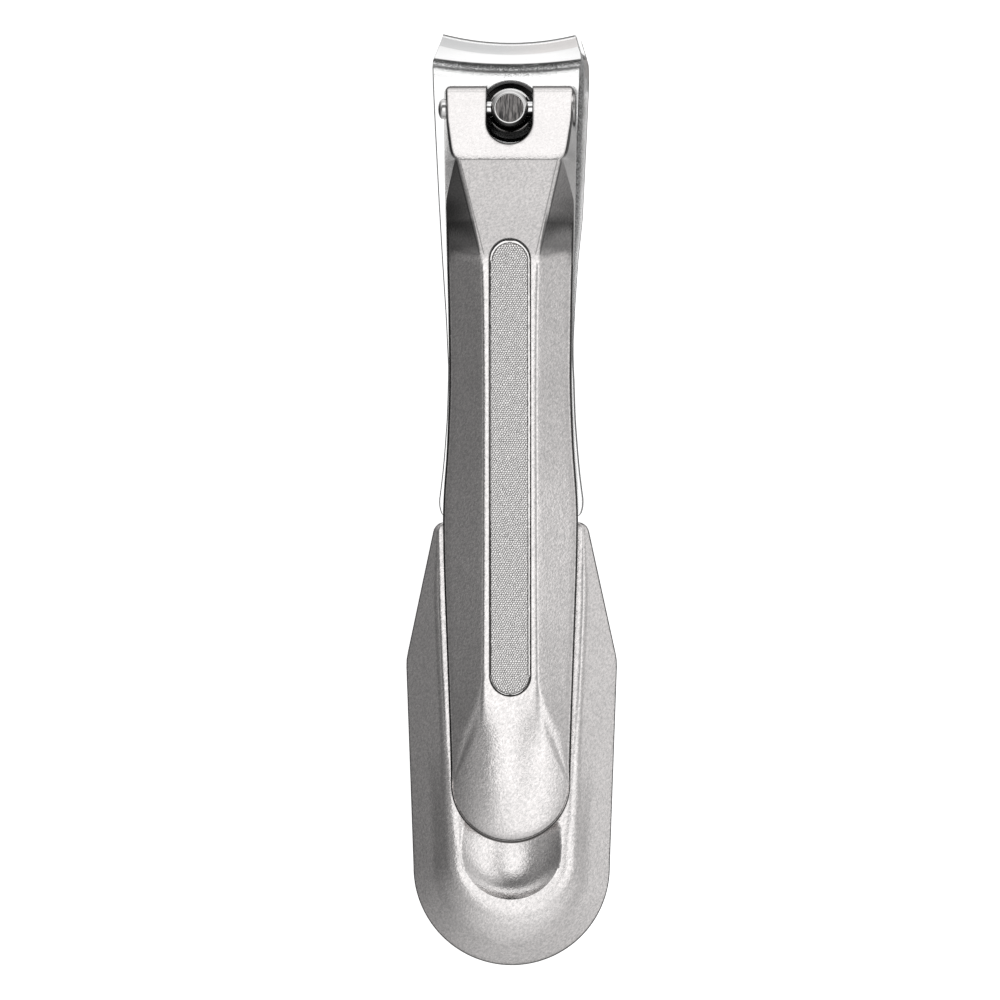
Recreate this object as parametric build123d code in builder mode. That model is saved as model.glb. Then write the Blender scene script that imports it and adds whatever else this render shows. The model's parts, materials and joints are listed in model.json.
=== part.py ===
from build123d import *
import os

# A large nail clipper, 90 mm long, with its lever folded flat for storage.
# Millimetres. +Y points from the grip to the jaws, +Z up. The origin is under the
# middle of the clipper, on the surface that it lies on.

# ---- the clipper's overall size
FRONT_Y = 45.0                 # corners of the cutting edges
REAR_Y = -45.0                 # rear end of the grip
MID_Z = 5.85                   # plane in which the cutting edges meet

# ---- blades
BLADE_THICK = 2.0
BLADE_ROOT_Y = -6.0            # where the blades start to spread, and turn as they flex
BLADE_RISE = 3.85              # how far a blade climbs from its root to its jaw
JAW_BEND_Y = 41.0
BLADE_SLOPE = BLADE_RISE / (JAW_BEND_Y - BLADE_ROOT_Y)
JAW_TOP = BLADE_THICK + BLADE_RISE
TANG_END_Y = -20.0
TANG_HALF = 5.5
BLADE_GAP = 0.03               # half of the gap between the two tangs
JAW_HALF_GAP = 1.2             # half of the opening between the cutting edges
EDGE_HALF = 6.6
EDGE_RADIUS = 26.0             # the hollow curve of the cutting edge, in plan
SHOULDER_HALF = 7.4

# ---- pivot post and cross pin
POST_Y = 37.3
POST_RADIUS = 2.1
POST_HEAD_RADIUS = 1.775
POST_TOP_Z = 15.85
POST_NECK_Z = 12.3
FOOT_RADIUS = 3.3
FOOT_BOTTOM_Z = 0.2
FOOT_TOP_Z = 1.2
POST_HOLE_RADIUS = 2.65
PIN_Z = 13.95
PIN_RADIUS = 0.75
PIN_HEAD_RADIUS = 0.95
PIN_HEAD_X = -6.85
PIN_DOME_X = PIN_HEAD_X + 0.5
PIN_SEAT_X = PIN_HEAD_X + 0.75    # the head bears on a spot face in the left cheek
PIN_END_X = 5.9
RUNNING_GAP = 0.05

# ---- lever
LEVER_FRONT_Y = 39.5
LEVER_REAR_Y = -33.0
LEVER_END_RADIUS = 5.78
CREASE_Y = 32.3                # the crest of the cam, where the thumb arm begins
CREASE_Z = 18.95
UNDERSIDE_Z = 11.85            # flat underside of the cheeks, close over the upper blade
UNDERSIDE_END_Y = 28.6
LEVER_TIP_Z = 9.95
UNDERSIDE_SLOPE = (UNDERSIDE_Z - LEVER_TIP_Z) / (UNDERSIDE_END_Y - LEVER_REAR_Y)
CAM_RADIUS = 2.35              # rounded front of the cheeks, about the cross pin
SLOT_WIDTH = 4.45
SLOT_END_Y = 33.8
PAD_RADIUS = 1.75              # round pad on the right cheek, where the pin ends
PAD_FACE_X = 6.35
CHANNEL_WIDTH = 5.6
CHANNEL_DEPTH = 0.9

# ---- nail file plate, let into the ridge of the lever
FILE_WIDTH = 3.85
FILE_LENGTH = 43.46
FILE_MID_Y = 3.04
FILE_THICK = 0.45
FILE_SINK = 0.06
FILE_GAP = 0.12
RIDGE_FRONT = (23.2, 14.37)    # y and z of the ridge at its ends
RIDGE_REAR = (-18.8, 12.65)
RIDGE_SLOPE = (RIDGE_FRONT[1] - RIDGE_REAR[1]) / (RIDGE_FRONT[0] - RIDGE_REAR[0])

# ---- grip castings
GRIP_FRONT_Y = -2.0
GRIP_CORNER_Y = -15.5
GRIP_TOP_Z = 9.2
EDGE_BAND = 0.6                # upright band on each side of the parting line
BEVEL_FRONT_HALF = 10.4        # the bevel's foot in front, if it ran on past the upright side
POCKET_HALF = 5.7
POCKET_REAR_Y = -20.6
POCKET_RISE = 2.45             # pocket height above and below the parting line
SCOOP_Y = -33.3
SCOOP_RADIUS = 4.8
SCOOP_DEPTH = 1.9
SCOOP_BALL = (SCOOP_RADIUS**2 + SCOOP_DEPTH**2) / 2 / SCOOP_DEPTH
CORE_HALF = 5.0
CORE_FRONT_Y = -27.2
CORE_REAR_Y = -36.5
CORE_FLOOR_Z = 1.3

# ---- fasteners inside the grip
TANG_PIN_YS = {"front": -10.0, "rear": -16.5}
TANG_PIN_RADIUS = 1.5
TANG_HOLE_RADIUS = 1.7
TANG_PIN_BOTTOM_Z = 0.8
TANG_PIN_TOP_Z = 8.6
SCREW_PLACES = {"left": (-5.0, -24.6), "right": (5.0, -24.6), "rear": (0.0, -39.6)}
SCREW_RADIUS = 1.1
SCREW_HEAD_RADIUS = 1.9
SCREW_HEAD_Z = 0.25
SCREW_TIP_Z = 7.2
DRIVE_RADIUS = 0.7
DRIVE_DEPTH = 0.9

WIDE = 40.0                    # larger than the clipper's width and height


def on_blade(y):
    """Height of the blade's outer face above the mid plane."""
    return BLADE_THICK + (y - BLADE_ROOT_Y) * BLADE_SLOPE


def underside(y):
    """Height of the lever's underside."""
    return UNDERSIDE_Z - max(0.0, UNDERSIDE_END_Y - y) * UNDERSIDE_SLOPE


def grip_plan(front_half, corner_half, rear_half, rear_y, end_y):
    """Plan of the grip at one height: straight front, widest at the corner, round rear."""
    with BuildSketch() as plan:
        with BuildLine():
            Polyline((-rear_half, rear_y), (-corner_half, GRIP_CORNER_Y), (-front_half, GRIP_FRONT_Y),
                     (front_half, GRIP_FRONT_Y), (corner_half, GRIP_CORNER_Y), (rear_half, rear_y))
            ThreePointArc((rear_half, rear_y), (0, end_y), (-rear_half, rear_y))
        make_face()
    return plan.sketch


def lever_section(y, half, wall_z, wall_half, top_z, top_half):
    """Cross section of the lever: flat underside, side wall, sloping facet and flat top."""
    with BuildSketch() as section:
        with BuildLine():
            Polyline((-half, underside(y)), (half, underside(y)), (wall_half, wall_z),
                     (top_half, top_z), (-top_half, top_z), (-wall_half, wall_z), close=True)
        make_face()
    return section.sketch


EDGE_CENTRE_Y = FRONT_Y + (EDGE_RADIUS**2 - EDGE_HALF**2) ** 0.5
EDGE_AXIS = Axis((0, EDGE_CENTRE_Y, 0), (0, 0, 1))
EDGE_PLANE = Plane(origin=(0, EDGE_CENTRE_Y, MID_Z), x_dir=(0, -1, 0), z_dir=(-1, 0, 0))
BLADE_SIDE_PLANE = Plane(origin=(0, 0, MID_Z), x_dir=(0, 1, 0), z_dir=(1, 0, 0))
INNER_BEND_Y = 39.4
INNER_BEND = on_blade(INNER_BEND_Y) - BLADE_THICK

# ---- upper blade
with BuildPart() as upper_blade:
    with BuildSketch(BLADE_SIDE_PLANE):
        with BuildLine():
            Polyline((TANG_END_Y, BLADE_GAP), (BLADE_ROOT_Y, BLADE_GAP), (INNER_BEND_Y, INNER_BEND),
                     (42.7, JAW_HALF_GAP), (FRONT_Y + 1, JAW_HALF_GAP), (FRONT_Y + 1, on_blade(FRONT_Y)),
                     (BLADE_ROOT_Y, BLADE_THICK), (TANG_END_Y, BLADE_THICK), close=True)
        make_face()
    extrude(amount=WIDE, both=True)
    # plan: hollow front, waist, round rear shoulders and narrow tang
    with BuildSketch(Plane.XY):
        with BuildLine() as right_side:
            Polyline((0, FRONT_Y + 1), (EDGE_HALF - 0.25, FRONT_Y + 1), (EDGE_HALF, FRONT_Y),
                     (SHOULDER_HALF, 42.1))
            Spline((SHOULDER_HALF, 42.1), (7.15, 35.0), (6.6, 23.0), (6.03, 12.5), (6.45, 4.3),
                   (6.9, 0.0))
            ThreePointArc((6.9, 0.0), (6.5, -1.3), (TANG_HALF, -1.75))
            Polyline((TANG_HALF, -1.75), (TANG_HALF, TANG_END_Y), (0, TANG_END_Y))
            mirror(right_side.line, about=Plane.YZ)
        make_face()
    extrude(amount=WIDE, mode=Mode.INTERSECT)
    # what is ground away in front of the jaw, turned about the centre of the edge's curve
    with BuildSketch(EDGE_PLANE):
        with BuildLine():
            Polyline((20, 0), (EDGE_RADIUS, 0), (EDGE_RADIUS, JAW_HALF_GAP), (26.12, 1.4),
                     (27.25, 2.6), (27.95, 4.6))
            ThreePointArc((27.95, 4.6), (28.45, 5.45), (29.3, JAW_TOP))
            Polyline((29.3, JAW_TOP), (36, JAW_TOP), (36, JAW_TOP + 3), (20, JAW_TOP + 3), (20, 0))
        make_face()
    revolve(axis=EDGE_AXIS, mode=Mode.SUBTRACT)
    with Locations((0, POST_Y, MID_Z + on_blade(POST_Y))):
        CounterSinkHole(POST_HOLE_RADIUS, POST_HOLE_RADIUS + 0.3)
    with Locations([(0, y, MID_Z) for y in TANG_PIN_YS.values()]):
        Cylinder(TANG_HOLE_RADIUS, WIDE, mode=Mode.SUBTRACT)

# ---- lower blade: the mirror image, with a seat for the post's foot
with BuildPart() as lower_blade:
    add(upper_blade.part.mirror(Plane.XY.offset(MID_Z)))
    with BuildSketch(Plane.XY.offset(FOOT_TOP_Z + RUNNING_GAP)):
        with Locations((0, POST_Y)):
            Circle(FOOT_RADIUS + 0.15)
    extrude(amount=-WIDE, mode=Mode.SUBTRACT)

# ---- pivot post: foot under the lower blade, shank, necked head with the pin's cross hole
with BuildPart() as pivot_post:
    with BuildSketch(Plane.XZ.offset(-POST_Y)):
        with BuildLine():
            Polyline((0, FOOT_BOTTOM_Z), (FOOT_RADIUS - 0.3, FOOT_BOTTOM_Z),
                     (FOOT_RADIUS, FOOT_BOTTOM_Z + 0.3), (FOOT_RADIUS, FOOT_TOP_Z),
                     (POST_RADIUS, FOOT_TOP_Z), (POST_RADIUS, POST_NECK_Z),
                     (POST_HEAD_RADIUS, POST_NECK_Z + 0.3), (POST_HEAD_RADIUS, POST_TOP_Z - 0.3),
                     (POST_HEAD_RADIUS - 0.3, POST_TOP_Z), (0, POST_TOP_Z), close=True)
        make_face()
    revolve(axis=Axis((0, POST_Y, 0), (0, 0, 1)))
    with BuildSketch(Plane.YZ):
        with Locations((POST_Y, PIN_Z)):
            Circle(PIN_RADIUS + RUNNING_GAP)
    extrude(amount=WIDE, both=True, mode=Mode.SUBTRACT)

# ---- cross pin: shank through both cheeks and the post, with a domed head on the left
with BuildPart() as cross_pin:
    with BuildSketch(Plane(origin=(0, POST_Y, PIN_Z))):
        with BuildLine():
            Polyline((PIN_DOME_X, PIN_HEAD_RADIUS), (PIN_SEAT_X, PIN_HEAD_RADIUS),
                     (PIN_SEAT_X, PIN_RADIUS), (PIN_END_X - 0.2, PIN_RADIUS),
                     (PIN_END_X, PIN_RADIUS - 0.2), (PIN_END_X, 0), (PIN_HEAD_X, 0))
            ThreePointArc((PIN_HEAD_X, 0), (PIN_HEAD_X + 0.14, 0.55), (PIN_DOME_X, PIN_HEAD_RADIUS))
        make_face()
    revolve(axis=Axis((0, POST_Y, PIN_Z), (1, 0, 0)))

# ---- lever: cam head over the post, long ridged arm, widening thumb end
LEVER_SECTIONS = (
    # y, half width, wall top z and half width, top z and half width
    (LEVER_FRONT_Y, 6.4, 14.3, 5.95, 14.75, 5.88),
    (36.2, 6.39, 16.2, 5.8, 16.68, 5.7),
    (33.9, 6.37, 17.5, 5.5, 18.02, 5.38),
    (CREASE_Y, 6.36, 18.4, 4.98, CREASE_Z, 4.85),
    (UNDERSIDE_END_Y, 6.3, 13.1, 6.12, 17.09, 4.1),
    (RIDGE_FRONT[0], 6.15, 12.6, 6.03, RIDGE_FRONT[1], 2.75),
    (11.0, 5.9, 12.25, 5.8, RIDGE_FRONT[1] - 12.2 * RIDGE_SLOPE, 2.5),
    (-3.5, 6.5, 11.6, 6.4, RIDGE_FRONT[1] - 26.7 * RIDGE_SLOPE, 2.5),
    (RIDGE_REAR[0], 6.0, 11.1, 5.92, RIDGE_REAR[1], 2.55),
    (-23.6, 5.85, 11.05, 5.78, 12.3, 4.0),
    (-27.2, 5.8, 10.9, 5.73, 12.0, 5.0),
    (LEVER_REAR_Y, 5.8, 10.8, 5.73, 11.2, 5.3),
)
FILE_PLANE = Plane(origin=(0, FILE_MID_Y, RIDGE_REAR[1] + (FILE_MID_Y - RIDGE_REAR[0]) * RIDGE_SLOPE),
                   x_dir=(1, 0, 0), z_dir=(0, -RIDGE_SLOPE, 1))
with BuildPart() as lever:
    for y, half, wall_z, wall_half, top_z, top_half in LEVER_SECTIONS:
        with BuildSketch(Plane.XZ.offset(-y)):
            add(lever_section(y, half, wall_z, wall_half, top_z, top_half))
    loft(ruled=True)
    # round thumb end
    with BuildSketch(Plane.XY):
        with Locations((0, LEVER_REAR_Y + LEVER_END_RADIUS)):
            Circle(LEVER_END_RADIUS)
        with Locations((0, LEVER_REAR_Y + LEVER_END_RADIUS)):
            Rectangle(2 * SHOULDER_HALF, WIDE * 2, align=(Align.CENTER, Align.MIN))
    extrude(amount=WIDE, mode=Mode.INTERSECT)
    # cheeks rounded about the pin, so that the lever can lift over the blade
    with BuildSketch(Plane.YZ):
        with Locations((POST_Y, PIN_Z)):
            Rectangle(5, 5, align=(Align.MIN, Align.MAX))
            Circle(CAM_RADIUS, mode=Mode.SUBTRACT)
    extrude(amount=WIDE, both=True, mode=Mode.SUBTRACT)
    # pad on the right cheek, and the spot face for the pin's head on the left one
    with BuildSketch(Plane.YZ):
        with Locations((POST_Y, PIN_Z)):
            Circle(PAD_RADIUS)
    extrude(amount=PAD_FACE_X)
    with BuildSketch(Plane.YZ.offset(PIN_SEAT_X)):
        with Locations((POST_Y, PIN_Z)):
            Circle(PIN_HEAD_RADIUS + RUNNING_GAP)
    extrude(amount=-WIDE, mode=Mode.SUBTRACT)
    # slot for the post, open to the front
    with BuildSketch(Plane.XY):
        with Locations((0, SLOT_END_Y + SLOT_WIDTH / 2)):
            Circle(SLOT_WIDTH / 2)
            Rectangle(SLOT_WIDTH, WIDE, align=(Align.CENTER, Align.MIN))
    extrude(amount=WIDE, mode=Mode.SUBTRACT)
    # pin holes in the cheeks
    with BuildSketch(Plane.YZ):
        with Locations((POST_Y, PIN_Z)):
            Circle(PIN_RADIUS + 0.01)
    extrude(amount=WIDE, both=True, mode=Mode.SUBTRACT)
    # pocket for the file plate
    with BuildSketch(FILE_PLANE.offset(-FILE_SINK - FILE_THICK)):
        SlotOverall(FILE_LENGTH + 2 * FILE_GAP, FILE_WIDTH + 2 * FILE_GAP, rotation=90)
    extrude(amount=WIDE, mode=Mode.SUBTRACT)
    # lightening channel along the underside
    with BuildSketch(Plane(origin=(0, UNDERSIDE_END_Y, UNDERSIDE_Z), x_dir=(1, 0, 0),
                           z_dir=(0, -UNDERSIDE_SLOPE, 1)).offset(CHANNEL_DEPTH)):
        with Locations((0, -26.5)):
            SlotOverall(51.0, CHANNEL_WIDTH, rotation=90)
    extrude(amount=-WIDE, mode=Mode.SUBTRACT)

# ---- nail file plate
with BuildPart() as nail_file_plate:
    with BuildSketch(FILE_PLANE.offset(-FILE_SINK)):
        SlotOverall(FILE_LENGTH, FILE_WIDTH, rotation=90)
    extrude(amount=-FILE_THICK)

# ---- upper grip casting: rim around the folded lever, finger scoop under its tip
with BuildPart() as grip_top:
    with BuildSketch(Plane.XY.offset(MID_Z)):
        add(grip_plan(BEVEL_FRONT_HALF, 10.2, 9.5, -35.5, REAR_Y))
    extrude(amount=EDGE_BAND)
    with BuildSketch(Plane.XY.offset(MID_Z + EDGE_BAND)):
        add(grip_plan(BEVEL_FRONT_HALF, 10.2, 9.5, -35.5, REAR_Y))
    with BuildSketch(Plane.XY.offset(GRIP_TOP_Z)):
        add(grip_plan(7.05, 6.85, 5.75, -34.0, -39.6))
    loft(ruled=True)
    # tapering upright sides towards the front
    with BuildSketch(Plane.XY.offset(MID_Z)):
        add(grip_plan(7.3, 10.2, 9.5, -35.5, REAR_Y))
    extrude(amount=WIDE, mode=Mode.INTERSECT)
    with Locations((0, SCOOP_Y, GRIP_TOP_Z - SCOOP_DEPTH + SCOOP_BALL)):
        Sphere(SCOOP_BALL, mode=Mode.SUBTRACT)
    with BuildSketch(Plane.XY.offset(MID_Z)):
        with Locations((0, POCKET_REAR_Y)):
            Rectangle(2 * POCKET_HALF, WIDE, align=(Align.CENTER, Align.MIN))
    extrude(amount=POCKET_RISE, mode=Mode.SUBTRACT)
    with Locations([(0, y, 0) for y in TANG_PIN_YS.values()]):
        Cylinder(TANG_PIN_RADIUS, TANG_PIN_TOP_Z, align=(Align.CENTER, Align.CENTER, Align.MIN),
                 mode=Mode.SUBTRACT)
    with Locations([(x, y, 0) for x, y in SCREW_PLACES.values()]):
        Cylinder(SCREW_RADIUS, SCREW_TIP_Z, align=(Align.CENTER, Align.CENTER, Align.MIN),
                 mode=Mode.SUBTRACT)

# ---- lower grip casting: flat base, hollow core, seats for the pins and screws
with BuildPart() as grip_bottom:
    with BuildSketch(Plane.XY.offset(MID_Z - EDGE_BAND)):
        add(grip_plan(7.3, 10.2, 9.5, -35.5, REAR_Y))
    extrude(amount=EDGE_BAND)
    with BuildSketch(Plane.XY):
        add(grip_plan(6.3, 7.3, 6.5, -35.0, -42.0))
    with BuildSketch(Plane.XY.offset(MID_Z - EDGE_BAND)):
        add(grip_plan(7.3, 10.2, 9.5, -35.5, REAR_Y))
    loft(ruled=True)
    with BuildSketch(Plane.XY.offset(MID_Z)):
        with Locations((0, POCKET_REAR_Y)):
            Rectangle(2 * POCKET_HALF, WIDE, align=(Align.CENTER, Align.MIN))
    extrude(amount=-POCKET_RISE, mode=Mode.SUBTRACT)
    with BuildSketch(Plane.XY.offset(CORE_FLOOR_Z)):
        with Locations((0, CORE_FRONT_Y)):
            Rectangle(2 * CORE_HALF, CORE_FRONT_Y - CORE_REAR_Y, align=(Align.CENTER, Align.MAX))
    extrude(amount=WIDE, mode=Mode.SUBTRACT)
    with Locations([(0, y, 0) for y in TANG_PIN_YS.values()]):
        Cylinder(TANG_PIN_RADIUS, WIDE, mode=Mode.SUBTRACT)
    with Locations([(x, y, SCREW_HEAD_Z) for x, y in SCREW_PLACES.values()]):
        Cylinder(SCREW_RADIUS, WIDE, mode=Mode.SUBTRACT)
        Cylinder(SCREW_HEAD_RADIUS, WIDE, align=(Align.CENTER, Align.CENTER, Align.MAX),
                 mode=Mode.SUBTRACT)
        Cone(SCREW_HEAD_RADIUS, SCREW_RADIUS, SCREW_HEAD_RADIUS - SCREW_RADIUS,
             align=(Align.CENTER, Align.CENTER, Align.MIN), mode=Mode.SUBTRACT)

PIECES = {
    "upper_blade": upper_blade, "lower_blade": lower_blade, "pivot_post": pivot_post,
    "cross_pin": cross_pin, "lever": lever, "nail_file_plate": nail_file_plate,
    "grip_top": grip_top, "grip_bottom": grip_bottom,
}

# ---- pins through the tangs, pressed into both castings
for place, y in TANG_PIN_YS.items():
    with BuildPart() as tang_pin:
        with Locations((0, y, TANG_PIN_BOTTOM_Z)):
            Cylinder(TANG_PIN_RADIUS, TANG_PIN_TOP_Z - TANG_PIN_BOTTOM_Z,
                     align=(Align.CENTER, Align.CENTER, Align.MIN))
        chamfer(tang_pin.edges().group_by(Axis.Z)[0], 0.25)
    PIECES[f"tang_pin_{place}"] = tang_pin

# ---- countersunk screws that hold the castings together from below, with a hexagon socket
for place, (x, y) in SCREW_PLACES.items():
    with BuildPart() as grip_screw:
        with Locations((x, y, SCREW_HEAD_Z)):
            Cylinder(SCREW_RADIUS, SCREW_TIP_Z - SCREW_HEAD_Z,
                     align=(Align.CENTER, Align.CENTER, Align.MIN))
            Cone(SCREW_HEAD_RADIUS, SCREW_RADIUS, SCREW_HEAD_RADIUS - SCREW_RADIUS,
                 align=(Align.CENTER, Align.CENTER, Align.MIN))
        with BuildSketch(Plane.XY):
            with Locations((x, y)):
                RegularPolygon(DRIVE_RADIUS, 6)
        extrude(amount=SCREW_HEAD_Z + DRIVE_DEPTH, mode=Mode.SUBTRACT)
    PIECES[f"grip_screw_{place}"] = grip_screw

os.makedirs("parts", exist_ok=True)
for name, piece in PIECES.items():
    piece.part.label = name
    export_step(piece.part, f"parts/{name}.step")
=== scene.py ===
"""Looks of a folded nail clipper: satin die-cast lever and grip, polished blades, etched file."""
import bmesh
import bpy
import json
import math
import numpy as np
from mathutils import Matrix, Vector


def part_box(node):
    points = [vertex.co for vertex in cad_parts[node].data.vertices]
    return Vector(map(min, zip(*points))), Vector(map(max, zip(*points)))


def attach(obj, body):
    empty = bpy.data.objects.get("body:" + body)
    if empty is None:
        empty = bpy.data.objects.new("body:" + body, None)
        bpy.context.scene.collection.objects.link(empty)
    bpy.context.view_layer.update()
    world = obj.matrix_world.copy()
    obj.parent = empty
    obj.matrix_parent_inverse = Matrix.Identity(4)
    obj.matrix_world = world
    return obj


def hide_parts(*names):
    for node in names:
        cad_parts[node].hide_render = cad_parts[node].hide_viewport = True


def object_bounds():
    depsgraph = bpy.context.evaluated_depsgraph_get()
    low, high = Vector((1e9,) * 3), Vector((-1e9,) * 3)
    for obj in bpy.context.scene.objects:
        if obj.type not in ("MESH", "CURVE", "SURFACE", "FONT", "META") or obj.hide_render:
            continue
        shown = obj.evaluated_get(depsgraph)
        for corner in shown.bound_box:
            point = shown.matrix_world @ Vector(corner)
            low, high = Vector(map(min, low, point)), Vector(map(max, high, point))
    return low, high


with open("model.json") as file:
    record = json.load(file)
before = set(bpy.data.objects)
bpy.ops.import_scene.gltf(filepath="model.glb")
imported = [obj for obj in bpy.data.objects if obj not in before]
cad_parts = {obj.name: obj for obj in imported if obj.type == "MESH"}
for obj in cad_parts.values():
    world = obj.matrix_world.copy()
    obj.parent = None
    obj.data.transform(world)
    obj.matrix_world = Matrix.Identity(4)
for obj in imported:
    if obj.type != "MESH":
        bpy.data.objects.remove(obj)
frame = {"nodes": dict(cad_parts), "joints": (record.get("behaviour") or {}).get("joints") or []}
cad_low, cad_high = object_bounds()

MM = 0.001
FRONT_Y = cad_high.y / MM


def box_mm(node):
    """Lowest and highest corners of a CAD node, in millimetres."""
    low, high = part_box(node)
    return np.array(low) / MM, np.array(high) / MM


# ------------------------------------------------------------------ mesh tools, in millimetres

def rounded(points, radii, arc=5, straight=3):
    """An open outline with round corners and a fixed number of points: radii has one value
    for each inner corner, arc points go round it, and straight points lie along each run."""
    pts = [np.array(p, float) for p in points]
    cuts = []
    for i in range(1, len(pts) - 1):
        a, b, c = pts[i - 1], pts[i], pts[i + 1]
        u, w = a - b, c - b
        lu, lw = np.linalg.norm(u), np.linalg.norm(w)
        u, w = u / max(lu, 1e-9), w / max(lw, 1e-9)
        half = math.acos(max(-1.0, min(1.0, float(u @ w)))) / 2
        reach = min(radii[i - 1] / max(math.tan(half), 1e-6), 0.48 * lu, 0.48 * lw)
        cuts.append((b, u, w, half, reach))
    out = [pts[0]]
    start = pts[0]
    for b, u, w, half, reach in cuts:
        enter, leave = b + u * reach, b + w * reach
        out += [start + (enter - start) * k / (straight + 1) for k in range(1, straight + 1)]
        for k in range(arc + 1):
            t = k / arc
            out.append((1 - t) ** 2 * enter + 2 * t * (1 - t) * (b * 0.9 + 0.05 * (enter + leave))
                       + t ** 2 * leave)
        start = leave
    out += [start + (pts[-1] - start) * k / (straight + 1) for k in range(1, straight + 2)]
    return np.array(out)


def weld(mesh):
    """Merges points that lie on each other and turns the normals outwards."""
    bm = bmesh.new()
    bm.from_mesh(mesh)
    bmesh.ops.remove_doubles(bm, verts=bm.verts, dist=2e-7)
    bmesh.ops.dissolve_degenerate(bm, edges=bm.edges, dist=2e-7)
    bmesh.ops.recalc_face_normals(bm, faces=bm.faces)
    bm.to_mesh(mesh)
    bm.free()


def make_mesh(name, verts, faces):
    """A mesh object from millimetre points."""
    mesh = bpy.data.meshes.new(name)
    mesh.from_pydata([tuple(float(c) * MM for c in v) for v in verts], [], faces)
    weld(mesh)
    piece = bpy.data.objects.new(name, mesh)
    bpy.context.scene.collection.objects.link(piece)
    return piece


def tube(name, loops, folded=False, cap=None):
    """A closed solid through a row of closed loops of equally many points. The last loop is
    folded when its two halves lie on each other, and then it needs no end face. The first
    loop gets one face, or the faces in cap."""
    loops = np.array(loops, float)
    rows, count = loops.shape[:2]
    faces = []
    for i in range(rows - 1):
        for j in range(count):
            k = (j + 1) % count
            faces.append((i * count + j, i * count + k, (i + 1) * count + k, (i + 1) * count + j))
    faces += cap or [tuple(range(count))]
    if not folded:
        faces.append(tuple(reversed(range((rows - 1) * count, rows * count))))
    return make_mesh(name, loops.reshape(-1, 3), faces)


def mirrored(stations):
    """Closed loops of a shape that is the same on both sides. Each station is a point on the
    middle line, a direction outwards and a profile of distance and height."""
    loops = []
    for cy, dx, dy, profile in stations:
        right = [(dx * r, cy + dy * r, z) for r, z in profile]
        loops.append(right + [(-x, y, z) for x, y, z in reversed(right[1:-1])])
    return loops


def prism(outline, levels):
    """A drill shape: an outline of (x, y) points, spread outwards by a little at each level.
    A level is (spread, function that gives z at y)."""
    pts = np.array(outline, float)
    d = np.roll(pts, -1, 0) - np.roll(pts, 1, 0)
    n = np.stack([d[:, 1], -d[:, 0]], 1)
    n /= np.maximum(np.linalg.norm(n, axis=1, keepdims=True), 1e-9)
    loops = []
    for spread, height in levels:
        ring = pts + n * spread
        loops.append([(x, y, height(y)) for x, y in ring])
    return tube("cutter", loops)


def lathe(name, profile, centre, axis="Z", steps=96):
    """A turned solid: profile of radius and position along the axis, from pole to pole."""
    loops = []
    for r, t in profile:
        ring = []
        for k in range(steps):
            a = 2 * math.pi * k / steps
            u, v = r * math.cos(a), r * math.sin(a)
            ring.append({"Z": (u, v, t), "X": (t, u, v)}[axis])
        loops.append(np.array(ring) + np.array(centre))
    return tube(name, loops)


def obround(width, length, steps=20):
    """Points round a slot shape along Y, centred on the origin."""
    r = width / 2
    reach = length / 2 - r
    top = [(r * math.cos(a), reach + r * math.sin(a)) for a in np.linspace(0, math.pi, steps)]
    return top + [(-x, -y) for x, y in top]


def combine(piece, other, operation):
    """Joins or cuts the piece with the other one, which is used up."""
    mod = piece.modifiers.new("cut", "BOOLEAN")
    mod.operation = operation
    mod.solver = "EXACT"
    mod.object = other
    graph = bpy.context.evaluated_depsgraph_get()
    mesh = bpy.data.meshes.new_from_object(piece.evaluated_get(graph))
    piece.modifiers.clear()
    old = piece.data
    piece.data = mesh
    bpy.data.meshes.remove(old)
    bpy.data.objects.remove(other)
    weld(piece.data)


def drill(piece, cutter):
    """Cuts the cutter's shape out of the piece."""
    combine(piece, cutter, "DIFFERENCE")


def join(piece, other):
    """Makes the piece and the other one solid."""
    combine(piece, other, "UNION")


def finish_surface(piece, sharp_deg):
    """Smooth shading, with crisp edges where faces meet at more than sharp_deg."""
    mesh = piece.data
    mesh.shade_smooth()
    mesh.set_sharp_from_angle(angle=math.radians(sharp_deg))
    even = piece.modifiers.new("even normals", "WEIGHTED_NORMAL")
    even.keep_sharp = True
    graph = bpy.context.evaluated_depsgraph_get()
    piece.data = bpy.data.meshes.new_from_object(piece.evaluated_get(graph))
    piece.modifiers.clear()
    bpy.data.meshes.remove(mesh)
    return piece


def cylinder(radius, low, high, centre, lid=2.0):
    """An upright drill shape from low to high."""
    return lathe("cutter", [(1e-5, low), (radius, low), (radius, high + lid), (1e-5, high + lid)],
                 centre, "Z", 64)


# ------------------------------------------------------------------ sizes shared with the frame

lever_low, lever_high = box_mm("lever")
post_high = box_mm("pivot_post")[1]
pin_low, pin_high = box_mm("cross_pin")
file_low, file_high = box_mm("nail_file_plate")
grip_high = box_mm("grip_top")[1]
joints = {j["name"]: j for j in frame["joints"]}
lift_at = [c / MM for c in joints["lever_lift"]["pos_m"]]
POST_Y, PIN_Z = lift_at[1], lift_at[2]
MID_Z = joints["lower_jaw_close"]["pos_m"][2] / MM
ROOT_Y = joints["lower_jaw_close"]["pos_m"][1] / MM

# ------------------------------------------------------------------ lever

LEVER_FRONT, LEVER_REAR = lever_high[1], lever_low[1]
THUMB_RADIUS = 5.78
THUMB_Y = LEVER_REAR + THUMB_RADIUS
CREASE_Y, CREASE_Z = 32.3, lever_high[2]
PLATE_END_Z = 14.75
CHEEK_Z, CHEEK_END_Y, TIP_Z = lever_low[2] + 1.9, 28.6, lever_low[2]
RIDGE_FRONT_Y, RIDGE_FRONT_Z = 23.2, 14.37
RIDGE_REAR_Y, RIDGE_REAR_Z = -18.8, 12.65
RIDGE_SLOPE = (RIDGE_FRONT_Z - RIDGE_REAR_Z) / (RIDGE_FRONT_Y - RIDGE_REAR_Y)
CAM_RADIUS = 2.35
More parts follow.
